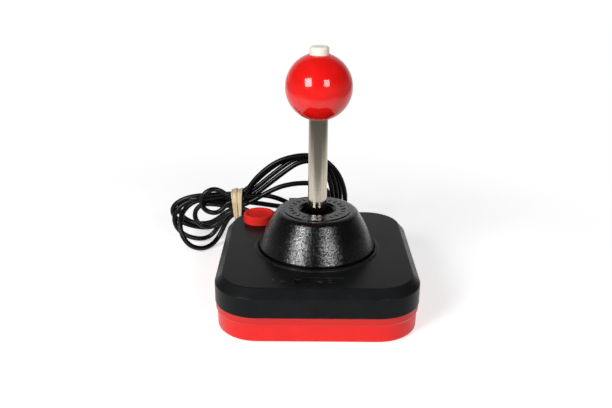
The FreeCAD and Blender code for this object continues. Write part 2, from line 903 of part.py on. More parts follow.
def stick_fire_switch():
    """Hangs under the board, with a wide pad on the blade so that a tilted rod still meets it."""
    reach = fire_clamp_from_middle + fire_pad_radius
    one = leaf_switch(reach, pad_at=fire_clamp_from_middle, inner_slab=plate_z - stick_leaf_z)
    origin = V(fire_clamp_from_middle + leaf_clamp, 0, stick_leaf_z)
    return placed(one, origin, -X_AXIS, Y_AXIS, -Z_AXIS)


def deck_fire_switch():
    """Stands on a pillar of the lower housing, with its blade under the deck button's stem."""
    reach = deck_fire_clamp_from_button + deck_button_stem_radius + 4 * contact_radius
    one = leaf_switch(reach)
    origin = V(deck_fire_x, deck_button_y, deck_leaf_z)
    return placed(one, origin, -X_AXIS, Y_AXIS, -Z_AXIS)


def switch_plate():
    plate = rounded_slab(plate_size, plate_size, plate_corner, plate_z, plate_top)
    cuts = [cylinder(plate_hole_radius, plate_z - 1, plate_top + 1)]
    for x, y in post_places:
        cuts.append(cylinder(retainer_screw_radius + head_gap, plate_z - 1, plate_top + 1, x, y))
    return plate.cut(Part.makeCompound(cuts)).removeSplitter()


def rubber_feet():
    pads = []
    for x, y in foot_places:
        pads.append(moved(turned([
            (0, 0, 0),
            (foot_radius, 0, 0.4),
            (foot_radius, foot_proud + foot_seat, 0),
            (0, foot_proud + foot_seat, 0),
        ]), x, y, 0))
    return Part.makeCompound(pads)


def housing_screws():
    length = split_z - screw_seat_z + screw_bite
    screw = cross_screw(screw_radius, screw_head_radius, screw_head_height, length, cross_depth)
    return Part.makeCompound([moved(screw, x, y, screw_seat_z) for x, y in boss_places])


def retainer_screws():
    length = retainer_flange_thickness + retainer_screw_bite
    screw = cross_screw(
        retainer_screw_radius, retainer_screw_head, retainer_screw_head_height, length, cross_depth / 2
    )
    screw = moved(screw, retainer_screw_ring, 0, pivot_z - retainer_flange_thickness)
    return Part.makeCompound([around(screw, angle) for angle in retainer_angles])


def plate_screws():
    length = plate_top - post_screw_end
    screw = cross_screw(
        retainer_screw_radius, retainer_screw_head, retainer_screw_head_height, length, cross_depth / 2
    )
    screw.rotate(V(), X_AXIS, 180)
    return Part.makeCompound([moved(screw, x, y, plate_top) for x, y in post_places])


def cord_notch():
    """The half-round gap that the two housings leave for the strain relief's neck."""
    notch = cylinder(relief_neck_radius + fit_gap, 0, wall + 6)
    return rear_facing(notch, half_depth - wall - 3)


def rear_facing(shape, y):
    """Turns a shape that points up so that it points out of the rear wall, at the cord's exit."""
    out = shape.copy()
    out.rotate(V(), X_AXIS, -90)
    out.translate(V(cord_exit_x, y, split_z))
    return out


def strain_relief():
    inner = half_depth - wall - relief_flange_thickness - fit_gap
    neck = relief_flange_thickness
    outside = neck + wall + 2 * fit_gap
    tip = outside + relief_length
    boot = turned([
        (0, 0, 0),
        (relief_flange_radius, 0, 0.4),
        (relief_flange_radius, neck, 0),
        (relief_neck_radius, neck, 0),
        (relief_neck_radius, outside, 0),
        (relief_flange_radius, outside, 0),
        (relief_flange_radius, outside + relief_flange_thickness, 0.5),
        (relief_neck_radius + 0.5, outside + relief_flange_thickness, 0),
        (relief_tip_radius, tip, 0.4),
        (0, tip, 0),
    ])
    boot = boot.cut(cylinder(cord_diameter / 2 + fit_gap, tip - relief_socket, tip + 1))
    for step in range(4):
        at = outside + 2 * relief_flange_thickness + step * relief_slit_pitch
        radius = relief_neck_radius + 1
        slit = cylinder(radius, at, at + relief_slit)
        slit = slit.cut(cylinder(radius - relief_slit_depth, at - 1, at + relief_slit + 1))
        boot = boot.cut(slit)
    return rear_facing(boot.removeSplitter(), inner)


def cord_tube(name, points):
    sheath, length, radii = tube(points, cord_diameter)
    section = math.pi * cord_diameter ** 2 / 4
    print(
        f"{name}: {length:.1f} mm long, radii {[round(r, 1) for r in radii]}, "
        f"volume {sheath.Volume / (section * length):.3f} of its section times its length"
    )
    return sheath


def oval(turn, grow):
    """A loop of the hank in the XZ plane, as four quarter ellipses, grown evenly."""
    x, z, left, right, up, down = turn
    middle = V(x, 0, z)
    ends = [V(right + grow, 0, 0), V(0, 0, up + grow), V(-left - grow, 0, 0), V(0, 0, -down - grow)]
    edges = []
    for i, first in enumerate(ends):
        second = ends[(i + 1) % 4]
        quarter = Part.BezierCurve()
        quarter.setPoles([middle + first, middle + first + second, middle + second])
        quarter.setWeight(2, math.sqrt(0.5))
        edges.append(quarter.toShape())
    return Part.Face(Part.Wire(edges))


def hank_loop(turn, opening, rows, front, back):
    """Turns of the cord that are drawn together into the neck, from the front column to the back one."""
    x, y, _ = hank_middle
    mid_x, mid_z, _, _, up, down = turn
    low, high = rows
    radius = cord_diameter / 2
    band_edge = x + math.copysign(band_width / 2 + 2 * fit_gap, mid_x - x)
    corners = [
        V(band_edge, 0, high + radius),
        V(mid_x, 0, mid_z + up),
        V(mid_x, 0, mid_z - down),
        V(band_edge, 0, low - radius),
    ]
    wedge = Part.Face(Part.makePolygon(corners + corners[:1]))
    deep = V(0, back - front + 2 * radius, 0)
    body = joined([oval(turn, radius).extrude(deep), wedge.extrude(deep)])
    body = body.cut(oval(opening, -radius).extrude(deep))
    return moved(body, 0, y + front - radius, 0)


def hank():
    """The wound cord's outer shape: two lobes that stand on the table and a neck under the band."""
    x, y, z = hank_middle
    long, thick, tall = hank_neck
    reach = tall / 2 - cord_diameter / 2
    rows = (z - reach, z + reach)
    neck = rounded_slab(tall, thick, hank_neck_round, -long / 2, long / 2)
    neck.rotate(V(), Y_AXIS, 90)
    low = hank_loop(hank_low_turn, hank_low_turn, rows, 0, 0)
    low.rotate(V(x, y, z), X_AXIS, -hank_low_lean_deg)
    return joined([
        moved(neck, x, y, z),
        hank_loop(hank_right_turn, hank_right_opening, rows, 0, hank_column),
        hank_loop(hank_single_turn, hank_single_turn, rows, hank_column, hank_column),
        hank_loop(hank_left_turn, hank_left_opening, rows, hank_column, hank_column),
        low,
        hank_loop(hank_curl, hank_curl, hank_curl_rows, -hank_column, -hank_column),
    ])


def hank_band():
    _, thick, tall = hank_neck
    grow = band_thickness + fit_gap
    half = band_width / 2
    outer = rounded_slab(tall + 2 * grow, thick + 2 * grow, hank_neck_round + grow, -half, half)
    inner = rounded_slab(
        tall + 2 * fit_gap, thick + 2 * fit_gap, hank_neck_round + fit_gap, -band_width, band_width
    )
    band = outer.cut(inner)
    band.rotate(V(), Y_AXIS, 90)
    return moved(band, *hank_middle)


# Plug: drawn along X from where the cord enters, then turned and laid behind the base
def at_plug(shape):
    laid = shape.copy()
    laid.rotate(V(), Z_AXIS, plug_heading_deg)
    laid.translate(V(*plug_entry))
    return laid


def along_x(shape):
    """Turns a shape that points up so that it points along X."""
    laid = shape.copy()
    laid.rotate(V(), Y_AXIS, 90)
    return laid


def plug_d(grow, start, end):
    """The plug's D outline as a prism along X, grown or shrunk evenly."""
    wide = plug_shell_width / 2 + grow
    half = plug_shell_height / 2 + grow
    round_corner = plug_shell_round + grow
    corners = [
        (-wide, half, round_corner),
        (-wide + plug_shell_slant, -half, round_corner),
        (wide - plug_shell_slant, -half, round_corner),
        (wide, half, round_corner),
    ]
    return sketch(corners, lambda p: V(start, p.x, p.y)).extrude(V(end - start, 0, 0))


def plug_moulding():
    long, wide, tall = plug_body
    half = wide / 2
    back = plug_boot_length
    boot = turned([
        (0, 0, 0),
        (relief_tip_radius, 0, 0.4),
        (plug_boot_radius, back + 1, 0),
        (0, back + 1, 0),
    ])
    boot = boot.cut(cylinder(cord_diameter / 2 + fit_gap, -1, relief_socket))
    corners = [
        (back, -half + plug_taper, plug_body_round / 2),
        (plug_front - plug_shoulder, -half, plug_body_round),
        (plug_front, -half, 0),
        (plug_front, half, 0),
        (plug_front - plug_shoulder, half, plug_body_round),
        (back, half - plug_taper, plug_body_round / 2),
    ]
    shell = sketch(corners, lambda p: V(p.x, p.y, -tall / 2)).extrude(V(0, 0, tall))
    body = joined([shell, along_x(boot)])
    grips = []
    reach = half - plug_taper - plug_grip_pitch
    for step in range(4):
        at = back + plug_grip_pitch * (step + 2)
        for level in (-tall / 2, tall / 2):
            grips.append(
                block(
                    at, at + plug_grip_width, -reach, reach,
                    level - plug_grip_depth, level + plug_grip_depth,
                )
            )
    body = body.cut(Part.makeCompound(grips))
    hollow = plug_d(-plug_shell_wall + fit_gap, plug_front - plug_core_back - 1, plug_front + 1)
    return at_plug(body.cut(hollow).removeSplitter())


def plug_shell():
    thick, wide, tall = plug_flange
    tip = plug_front + thick + plug_shell_length
    flange = along_x(rounded_slab(tall, wide, plug_shell_round, plug_front, plug_front + thick))
    hole = along_x(cylinder(plug_screw_hole, plug_front - 1, plug_front + thick + 1))
    for side in (-1, 1):
        flange = flange.cut(moved(hole, 0, side * plug_screw_pitch / 2, 0))
    nose = plug_d(0, plug_front, tip)
    hollow = plug_d(-plug_shell_wall, plug_front - 1, tip + 1)
    return at_plug(joined([flange, nose]).cut(hollow).removeSplitter())


def plug_insert():
    face_x = plug_front + plug_flange[0] + plug_shell_length
    core = plug_d(-plug_shell_wall - fit_gap, plug_front - plug_core_back, face_x - plug_core_short)
    socket = along_x(cylinder(plug_pin_radius, face_x - plug_pin_depth, face_x + 1))
    holes = []
    for count, row in ((5, 0.5), (4, -0.5)):
        for i in range(count):
            across = (i - (count - 1) / 2) * plug_pin_pitch
            holes.append(moved(socket, 0, across, row * plug_row_pitch))
    return at_plug(core.cut(Part.makeCompound(holes)).removeSplitter())


# Places that several pieces share
opening_radius = cone_radius + cone_gap
bush_radius = pivot_ball_radius + pivot_gap + bush_thickness
seat_radius = bush_radius + pivot_gap
socket_radius = seat_radius + socket_wall
retainer_outside = grommet_radius + 2 * fit_gap + retainer_wall
retainer_screw_ring = retainer_outside + retainer_screw_head + head_gap
retainer_angles = (45, 165, 285)
boss_places = four_ways(half_width - boss_from_side, boss_off_middle)
foot_places = four_ways(half_width - foot_from_side, half_depth - foot_from_front)
post_places = four_ways(post_from_middle, post_from_middle)
screw_seat_z = lower_z + screw_head_height + 1.2
post_screw_end = plate_z - retainer_screw_bite + 0.5
clip_z = plate_top + clip_radius * math.sin(corner_tilt) + 1.0
shaft_foot = clip_z - shaft_tail
insert_radius = shaft_radius + fit_gap + insert_wall
knob_rim_z = knob_z + math.sqrt(knob_radius ** 2 - (button_radius + button_gap) ** 2)
button_top = knob_z + knob_radius + button_proud - button_crown
button_seat_z = knob_rim_z - knob_lip
shaft_head = knob_z - knob_radius + knob_insert_recess + insert_depth
rod_top = button_seat_z + rod_grip - button_flange_thickness
stick_leaf_z = plate_z - leaf_slab
rod_foot = stick_leaf_z + fire_rest_gap
deck_button_x = -(half_width - deck_button_from_side)
deck_button_y = half_depth - deck_button_from_rear
collar_z = deck_z - deck_button_skirt + collar_clear
deck_leaf_z = deck_z - deck_button_skirt - deck_button_flange_thickness - deck_button_stem - fire_rest_gap
deck_fire_x = deck_button_x + deck_fire_clamp_from_button + leaf_clamp
deck_fire_seat = deck_leaf_z - 2 * leaf_thickness - leaf_spacing - leaf_slab
selector_y = -(half_depth - selector_from_front)
selector_body_width = selector_slot_width + 2 * (selector_shoe_reach + selector_body_wall)
selector_body_depth = selector_slot_depth + 2 * selector_body_wall
plug_front = plug_boot_length + plug_body[0]
relief_tip_y = half_depth + fit_gap + relief_length

# The cord leaves the rear wall, sags behind the hank and climbs through its loop into the band
lead_points = [
    V(cord_exit_x, relief_tip_y - relief_socket, split_z),
    V(cord_exit_x, relief_tip_y + 6.0, split_z),
    V(22.0, 91.5, 13.8),
    V(11.5, 97.0, 12.0),
    V(0.0, 94.0, 13.6),
    V(-9.0, 87.0, 18.5),
    V(-17.0, 79.5, 25.5),
    V(-25.5, 74.0, 33.0),
    V(-35.5, 71.8, 38.6),
    V(-46.5, 71.75, 37.4),
]

# The other end leaves the foot of the hank, lies on the table and turns back into the plug
tail_points = [
    V(-48.5, 75.4, 19.4),
    V(-45.5, 77.6, 14.2),
    V(-42.5, 82.3, 9.6),
    V(-36.5, 85.2, 5.8),
    V(-27.5, 86.6, 3.2),
    V(-16.5, 87.4, 1.95),
    V(-4.0, 88.1, 1.9),
    V(8.5, 88.9, 1.9),
    V(18.5, 89.4, 1.9),
    V(27.5, 89.8, 2.0),
    V(34.3, 97.1, 3.2),
    V(34.0, 107.1, 5.2),
    V(26.6, plug_entry[1], plug_entry[2]),
    V(plug_entry[0] - relief_socket, plug_entry[1], plug_entry[2]),
]

os.makedirs("parts", exist_ok=True)
save("lower_housing", lower_housing())
save("upper_housing", upper_housing())
save("stick_cone", stick_cone())
save("rubber_feet", rubber_feet())
save("housing_screws", housing_screws())
save("pivot_retainer", pivot_retainer())
save("retainer_screws", retainer_screws())
save("centring_grommet", centring_grommet())
save("pivot_bush", pivot_bush())
save("pivot_ball", pivot_ball())
save("shaft", shaft())
save("shaft_clip", shaft_clip())
save("actuator", actuator())
save("ball_knob", ball_knob())
save("knob_insert", knob_insert())
save("top_button", top_button())
save("plunger_rod", plunger_rod())
save("plunger_spring", plunger_spring())
save("deck_button", deck_button())
save("selector_slider", selector_slider())
save("selector_body", selector_body())
save("switch_plate", switch_plate())
save("plate_screws", plate_screws())
switches = direction_switches()
switches["stick_fire"] = stick_fire_switch()
switches["deck_fire"] = deck_fire_switch()
for side, switch in switches.items():
    save(f"{side}_leaf_clamp", switch["clamp"])
    save(f"{side}_moving_leaf", switch["moving"])
    save(f"{side}_fixed_leaf", switch["fixed"])
save("leaf_rivets", Part.makeCompound([s["pins"] for s in switches.values()]))
save("strain_relief", strain_relief())
save("cord_lead", cord_tube("cord_lead", lead_points))
save("cord_hank", hank())
save("hank_band", hank_band())
save("cord_tail", cord_tube("cord_tail", tail_points))
save("plug_body", plug_moulding())
save("plug_shell", plug_shell())
save("plug_insert", plug_insert())
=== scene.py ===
import json
import math

import bmesh
import bpy
from mathutils import Matrix, Quaternion, Vector


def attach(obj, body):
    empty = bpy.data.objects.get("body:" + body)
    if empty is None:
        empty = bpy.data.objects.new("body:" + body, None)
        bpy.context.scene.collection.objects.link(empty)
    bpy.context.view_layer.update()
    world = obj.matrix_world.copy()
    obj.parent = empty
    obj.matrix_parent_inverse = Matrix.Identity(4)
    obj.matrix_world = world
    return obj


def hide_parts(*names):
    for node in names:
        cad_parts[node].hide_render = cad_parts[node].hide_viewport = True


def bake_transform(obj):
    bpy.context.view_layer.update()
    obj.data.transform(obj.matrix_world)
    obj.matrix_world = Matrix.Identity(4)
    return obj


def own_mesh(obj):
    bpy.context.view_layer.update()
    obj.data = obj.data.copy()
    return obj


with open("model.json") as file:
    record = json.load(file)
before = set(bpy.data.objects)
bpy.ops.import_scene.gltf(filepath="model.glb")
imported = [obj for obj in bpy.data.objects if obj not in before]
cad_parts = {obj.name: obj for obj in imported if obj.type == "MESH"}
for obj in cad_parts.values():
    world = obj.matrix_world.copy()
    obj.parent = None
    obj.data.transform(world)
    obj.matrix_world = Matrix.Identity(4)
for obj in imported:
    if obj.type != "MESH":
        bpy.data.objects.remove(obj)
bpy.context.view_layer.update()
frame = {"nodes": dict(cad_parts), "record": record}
nodes = frame["nodes"]
MM = 0.001

# The photograph's view, found from the base's edges and the stick
PHOTO_WIDTH = 612
FOCAL_PIXELS = 738.1
SENSOR_WIDTH = 36.0
CAMERA_DISTANCE = 436.15 * MM
CAMERA_TARGET = Vector((-6.657, 0.0, 58.987)) * MM
CAMERA_PITCH = math.radians(20.753)
CAMERA_YAW = math.radians(-0.177)
CAMERA_ROLL = math.radians(0.502)

# The two softboxes: their way from the ball along the camera's right, up and back, roll in degrees,
# distance, width and height in metres, watts
SOFTBOXES = {
    "left_softbox": ((-0.59, 0.103, 0.804), 16.0, 0.95, 0.35, 0.43, 7.5),
    "right_softbox": ((0.42, 0.049, 0.905), -5.0, 0.95, 0.28, 0.34, 3.6),
}

# The room's light by direction: the direction's part from and to, and the strength from and to
ROOM_BEHIND = (0.5, 0.95), (0.06, 1.0)
ROOM_LEFT = (0.2, -1.0), (0.0, 0.05)
ROOM_LOW = (0.3, 0.05), (0.0, 0.22)

# The paper floor in metres: where its shadow fades into plain white, and where the white ends in grey in
# front of the photograph's view and beside it; that view widens to the back by VIEW_WIDENS, and PAPER_LIFT
# makes the near paper look paler without lighting the object
FLOOR_HALF = 6.0
FLOOR_SHIFT = (0.02, -0.03, 0.0)
PLAIN_WHITE = (0.14, 0.3)
GREY_FRONT = (-0.145, -0.26)
GREY_ASIDE = (0.22, 0.44)
VIEW_WIDENS = 0.41
PAPER_LIFT = 0.55
PAPER_COLOUR = "#f2f2f2"
PLAIN_COLOUR = "#ffffff"
GREY_COLOUR = "#979797"

# Places taken over from the solids
DECK_Z = 32.3
CONE_TOP = 56.4
KNOB_MIDDLE = Vector((0.0, 0.0, 128.9)) * MM
SELECTOR = (-8.9, -48.3)

# Heights between which painted shade sets in: the red housing at its step, the nickel up towards the ball
RED_STEP_SHADE = (11.2, 11.8)
SHAFT_SHADE_HEIGHTS = (78.0, 108.0)

# The rubber band: the neck of the hank that it holds, its strip and how its turns spread
NECK_DEPTH = 10.4
NECK_HEIGHT = 18.6
NECK_ROUND = 3.0
STRIP_WIDE = 1.7
STRIP_THICK = 1.0
STRIP_SIDES = 10
ROUND_STEPS = 7
BAND_TURNS = 6
BAND_TOP_SHIFT = -0.4
BAND_TOP_SPREAD = 6.2
BAND_FOOT_SHIFT = 0.3
BAND_FOOT_SPREAD = 3.4
BAND_LAP = 0.3
BAND_LAYERS = 3

# Raised marks: how deep they are rooted, and the share of their height that is rounded off
MARK_ROOT = 0.15
MARK_ROUND = 0.4

# The dial on the turret's ring
RING_MARKS = 24
RING_ARROWS = 4
RING_MARK_IN = 14.2
RING_MARK_OUT = 16.8
RING_MARK_HEIGHT = 0.3
ARROW_HALF = 1.7
BAR_HALF = 0.45

# The marks on the deck, measured from the selector: numerals, pointers and the thin line
DECK_MARK_HEIGHT = 0.3
NUMERAL_SIZE = 5.0
NUMERAL_REACH = 15.5
POINTER_TIP = 8.6
POINTER_LONG = 2.6
POINTER_HALF = 1.3
LINE_ENDS = (1.0, 23.0)
LINE_EDGES = (4.3, 4.6)
LINE_HEIGHT = DECK_MARK_HEIGHT * 0.6

# Blades that bend when a moving body pushes them: where each leaves its clamp and where it is pushed; the
# copies shown here are not bent
PUSHED_BLADES = [
    ("front_moving_leaf", "pivot", (-17.0, -9.6, 18.5), (0.0, -9.6, 18.5)),
    ("front_fixed_leaf", "pivot", (-17.0, -11.5, 18.5), (0.0, -11.5, 18.5)),
    ("rear_moving_leaf", "pivot", (17.0, 9.6, 18.5), (0.0, 9.6, 18.5)),
    ("rear_fixed_leaf", "pivot", (17.0, 11.5, 18.5), (0.0, 11.5, 18.5)),
    ("deck_fire_moving_leaf", "side_button", (-19.0, 40.3, 19.0), (-37.0, 40.3, 19.0)),
    ("deck_fire_fixed_leaf", "side_button", (-19.0, 40.3, 17.1), (-37.0, 40.3, 17.1)),
]

# Sockets of the node that mixes two colours
MIX_SHARE, MIX_FIRST, MIX_SECOND, MIX_COLOUR = 0, 6, 7, 2

# Worn edges with painted highlight: how far the rounded normal agrees with the true one on a flat face and on
# such an edge
EDGE_FLAT = 0.99
EDGE_WEAR_AND_GLINT = 0.86

# The cord: a thin round lead, wound into a hank behind the base
CORD_DIAMETER = 3.4
HANK_MIDDLE = (-54.0, 75.25, 30.0)
BAND_LEFT = 6.0
BAND_RIGHT = 4.5

# Each turn in the band: column from front to back, height of its upper strand on the left and on the
# right, height of its lower strand
HANK_ROWS = [
    (0.0, 6.2, 7.6, -7.4),
    (3.5, 6.2, 7.6, -7.4),
    (3.5, 2.2, 3.8, -3.9),
    (0.0, -0.4, 0.6, -3.9),
    (-3.5, -0.2, 0.2, -3.6),
    (-3.5, 7.2, 7.0, 3.6),
]

# Each loop left of the band: middle x and z, reach away from the band and towards it, up and down,
# lean to the front in degrees, shift to the front at its far end, number of points
LEFT_LOOPS = [
    (-78.0, 19.0, 14.5, 13.0, 15.0, 20.8, 40.0, 5.0, 9),
    (-77.0, 23.2, 23.6, 12.0, 12.0, 12.4, -2.0, 1.0, 9),
    (-80.0, 18.5, 19.0, 12.0, 14.0, 15.2, 8.0, 2.0, 9),
    (-83.0, 23.3, 13.2, 16.0, 9.8, 9.4, -8.0, -4.0, 9),
    (-75.0, 22.5, 9.0, 9.0, 8.4, 8.2, 10.0, -2.0, 7),
    (-69.6, 33.6, 9.0, 6.6, 9.0, 8.2, 0.0, 3.0, 7),
]

# Each loop right of the band: middle x and z, reach away from the band and towards it, up and down,
# shift to the back at its far end, number of points
RIGHT_LOOPS = [
    (-6.0, 33.0, 26.8, 39.0, 33.0, 31.0, 0.0, 11),
    (-6.0, 33.0, 23.6, 35.2, 31.2, 28.0, 3.8, 11),
    (-5.0, 33.0, 20.0, 27.0, 31.0, 25.0, 0.0, 11),
    (-4.0, 33.0, 16.0, 24.0, 29.0, 21.0, 0.0, 11),
    (-5.0, 37.6, 14.0, 27.0, 9.6, 9.4, 0.0, 9),
]

# From the strain relief behind the hank and up into the band
LEAD_POINTS = [
    (27.0, 70.6, 16.1),
    (27.0, 81.6, 16.1),
    (22.0, 91.5, 13.8),
    (11.5, 97.0, 12.0),
    (0.0, 94.0, 14.6),
    (-9.0, 87.0, 21.0),
    (-17.0, 79.5, 28.8),
    (-25.5, 74.0, 35.0),
    (-35.5, 71.8, 38.4),
]

# From the foot of the band along the table and round into the plug
TAIL_POINTS = [
    (-44.0, 76.2, 20.2),
    (-41.4, 79.6, 14.4),
    (-38.2, 83.2, 9.4),
    (-32.0, 85.6, 5.2),
    (-23.0, 87.0, 2.7),
    (-12.5, 87.6, 1.9),
    (-1.0, 88.3, 1.9),
    (10.0, 89.0, 1.9),
    (19.5, 89.5, 1.9),
    (27.5, 89.8, 2.0),
    (34.3, 97.1, 3.2),
    (34.0, 107.1, 5.2),
    (26.6, 114.0, 7.4),
    (16.6, 114.0, 7.4),
]


def touch(u, w, a, b):
    """Where lines from (u, w) touch an ellipse: the angle midway between them, and half their spread."""
    r = max(math.hypot(u / a, w / b), 1.0)
    return math.atan2(w / b, u / a), math.acos(1 / r)


def hank_loop(middle, side, away, toward, up, down, top, bottom, count):
    """Points x, z and share of the way out, round a loop from its upper strand to its lower one."""
    turn, spread = touch(side * (top[0] - middle[0]), top[1] - middle[1], toward, up)
    first = turn + spread
    turn, spread = touch(side * (bottom[0] - middle[0]), bottom[1] - middle[1], toward, down)
    last = turn - spread + 2 * math.pi
    step = (last - first) / (count - 1)
    # A curve of the second degree runs inside its points by this share, so they are set further out
    swell = 1 / (0.75 + 0.25 * math.cos(step))
    points = []
    for k in range(count):
        angle = first + k * step
        u = math.cos(angle) * swell * (toward if math.cos(angle) > 0 else away)
        w = math.sin(angle) * swell * (up if math.sin(angle) > 0 else down)
        points.append((middle[0] + side * u, middle[1] + w, (1 - math.cos(angle)) / 2))
    return points


def hank_points():
    """The wound part of the cord, from its end in the foot of the band to its end at the top."""
    bx, by, bz = HANK_MIDDLE
    left, right = bx - BAND_LEFT, bx + BAND_RIGHT
    points = []
    for i, (x, z, away, toward, up, down, lean, shift, count) in enumerate(LEFT_LOOPS):
        column, high_left, high_right, low = HANK_ROWS[i]
        y = by + column
        top, bottom = (left, bz + high_left), (left, bz + low)
        lean = math.radians(lean)
        points += [(right, y, bz + low), (left, y, bz + low)]
        loop = hank_loop((x, z), 1, away, toward, up, down, top, bottom, count)
        for px, pz, far in reversed(loop):
            drop = z + up - pz
            forward = far * (shift + math.sin(lean) * drop)
            points.append((px, y - forward, z + up - drop * (1 - far + far * math.cos(lean))))
        points += [(left, y, bz + high_left), (right, y, bz + high_right)]
        if i == len(RIGHT_LOOPS):
            break
        x, z, away, toward, up, down, shift, count = RIGHT_LOOPS[i]
        next_column, _, _, next_low = HANK_ROWS[i + 1]
        top, bottom = (right, bz + high_right), (right, bz + next_low)
        loop = hank_loop((x, z), -1, away, toward, up, down, top, bottom, count)
        for k, (px, pz, far) in enumerate(loop):
            # The strand moves over to the next column on the second half of its way
            late = max(0.0, 2 * (k + 1) / count - 1)
            late = late * late * (3 - 2 * late)
            points.append((px, y + (next_column - column) * late + shift * far, pz))
    return points


def controller_cord():
    """The whole cord as one smooth curve, from the strain relief through the hank to the plug."""
    points = LEAD_POINTS + hank_points()[::-1] + TAIL_POINTS
    curve = bpy.data.curves.new("cord", "CURVE")
    curve.dimensions = "3D"
    curve.bevel_depth = CORD_DIAMETER / 2 * MM
    curve.bevel_resolution = 4
    curve.resolution_u = 6
    curve.use_fill_caps = True
    line = curve.splines.new("NURBS")
    line.points.add(len(points) - 1)
    for spot, point in zip(line.points, points):
        spot.co = (*(Vector(point) * MM), 1.0)
    line.order_u = 3
    line.use_endpoint_u = True
    cord = bpy.data.objects.new("cord", curve)
    bpy.context.collection.objects.link(cord)
    return cord


def photo_camera():
    """The camera at the photograph's view, and its ways to the right, up and back."""
    back = Vector((
        math.sin(CAMERA_YAW) * math.cos(CAMERA_PITCH),
        -math.cos(CAMERA_YAW) * math.cos(CAMERA_PITCH),
        math.sin(CAMERA_PITCH),
    ))
    level = Vector((math.cos(CAMERA_YAW), math.sin(CAMERA_YAW), 0.0))
    steep = back.cross(level)
    right = level * math.cos(CAMERA_ROLL) + steep * math.sin(CAMERA_ROLL)
    up = steep * math.cos(CAMERA_ROLL) - level * math.sin(CAMERA_ROLL)
    data = bpy.data.cameras.new("photo_camera")
    data.sensor_width = SENSOR_WIDTH
    data.lens = data.sensor_width * FOCAL_PIXELS / PHOTO_WIDTH
    camera = bpy.data.objects.new("photo_camera", data)
    camera.matrix_world = Matrix((right, up, back)).transposed().to_4x4()
    camera.location = CAMERA_TARGET + back * CAMERA_DISTANCE
    bpy.context.collection.objects.link(camera)
    bpy.context.scene.camera = camera
    return right, up, back


def softbox(name, way, roll, distance, width, height, watts):
    """A rectangular studio lamp that faces the ball, turned about its own axis by roll degrees."""
    data = bpy.data.lights.new(name, "AREA")
    data.shape = "RECTANGLE"
    data.size = width
    data.size_y = height
    data.energy = watts
    lamp = bpy.data.objects.new(name, data)
    lamp.location = KNOB_MIDDLE + way.normalized() * distance
    turn = Quaternion((0, 0, 1), math.radians(roll))
    lamp.rotation_euler = (way.to_track_quat("Z", "Y") @ turn).to_euler()
    bpy.context.collection.objects.link(lamp)


def linear(code):
    """An sRGB hex colour as the linear colour that a shader takes."""
    parts = [int(code[i:i + 2], 16) / 255 for i in (1, 3, 5)]
    return (*[c / 12.92 if c <= 0.04045 else ((c + 0.055) / 1.055) ** 2.4 for c in parts], 1.0)


def add(tree, kind, inputs=None, **settings):
    """Adds a node with its settings; an input is a value or the socket that feeds it."""
    node = tree.nodes.new("ShaderNode" + kind)
    for name, value in settings.items():
        setattr(node, name, value)
    for name, value in (inputs or {}).items():
        if isinstance(value, bpy.types.NodeSocket):
            tree.links.new(value, node.inputs[name])
        else:
            node.inputs[name].default_value = value
    return node


def new_material(name, **values):
    """A material with its shader and the object's own coordinates to draw patterns by."""
    material = bpy.data.materials.new(name)
    material.use_nodes = True
    tree = material.node_tree
    shader = tree.nodes["Principled BSDF"]
    for socket, value in values.items():
        shader.inputs[socket.replace("_", " ")].default_value = value
    place = add(tree, "TexCoord").outputs["Object"]
    return material, tree, shader, place


def feed(tree, shader, **sockets):
    """Links what varies over the surface to the shader."""
    for name, socket in sockets.items():
        tree.links.new(socket, shader.inputs[name.replace("_", " ")])


def ramp(tree, value, ends, to=(0.0, 1.0), kind="LINEAR"):
    """A number that goes from one bound to the other while a value goes from one end to the other."""
    inputs = {"Value": value, "From Min": ends[0], "From Max": ends[1], "To Min": to[0], "To Max": to[1]}
    return add(tree, "MapRange", inputs, interpolation_type=kind).outputs["Result"]


def span(tree, share, first, second):
    """A number that goes from the first to the second with a share."""
    return ramp(tree, share, (0.0, 1.0), (first, second))


def reckon(tree, operation, *values, clamp=False):
    """The result of one sum on numbers or sockets."""
    return add(tree, "Math", dict(enumerate(values)), operation=operation, use_clamp=clamp).outputs["Value"]


def tint(tree, share, first, second):
    """The socket of a colour that goes from the first to the second; each is a hex value or a socket."""
    ends = [linear(c) if isinstance(c, str) else c for c in (first, second)]
    mix = add(tree, "Mix", {MIX_SHARE: share, MIX_FIRST: ends[0], MIX_SECOND: ends[1]}, data_type="RGBA")
    return mix.outputs[MIX_COLOUR]


def grains(tree, place, size_mm, low, high, detail=2.0):
    """A share that changes about every size_mm; low and high set how much of the surface it covers."""
    noise = add(tree, "TexNoise", {"Vector": place, "Scale": 1 / (size_mm * MM), "Detail": detail})
    return ramp(tree, noise.outputs["Fac"], (low, high))


def stretched(tree, place, scale, rotation=(0.0, 0.0, 0.0)):
    """Coordinates that draw a pattern out along the axes whose scale is small."""
    return add(tree, "Mapping", {"Vector": place, "Rotation": rotation, "Scale": scale}).outputs["Vector"]


def relief(tree, height, height_mm, strength):
    """The normal of a surface whose pattern stands height_mm high, or lies that deep if it is negative."""
    inputs = {"Height": height, "Distance": height_mm * MM, "Strength": strength}
    return add(tree, "Bump", inputs).outputs["Normal"]


def wear_and_glint_edges(tree, place, width_mm):
    """A share that is 1 along outer edges, broken up as hands rub them; it carries real wear and a painted
    highlight.
    """
    soft = add(tree, "Bevel", {"Radius": width_mm * MM}, samples=6).outputs["Normal"]
    true = add(tree, "NewGeometry").outputs["Normal"]
    match = add(tree, "VectorMath", {0: soft, 1: true}, operation="DOT_PRODUCT").outputs["Value"]
    edge = ramp(tree, match, (EDGE_FLAT, EDGE_WEAR_AND_GLINT))
    broken = grains(tree, place, size_mm=2.5, low=0.35, high=0.6, detail=4.0)
    return reckon(tree, "MULTIPLY", edge, broken)


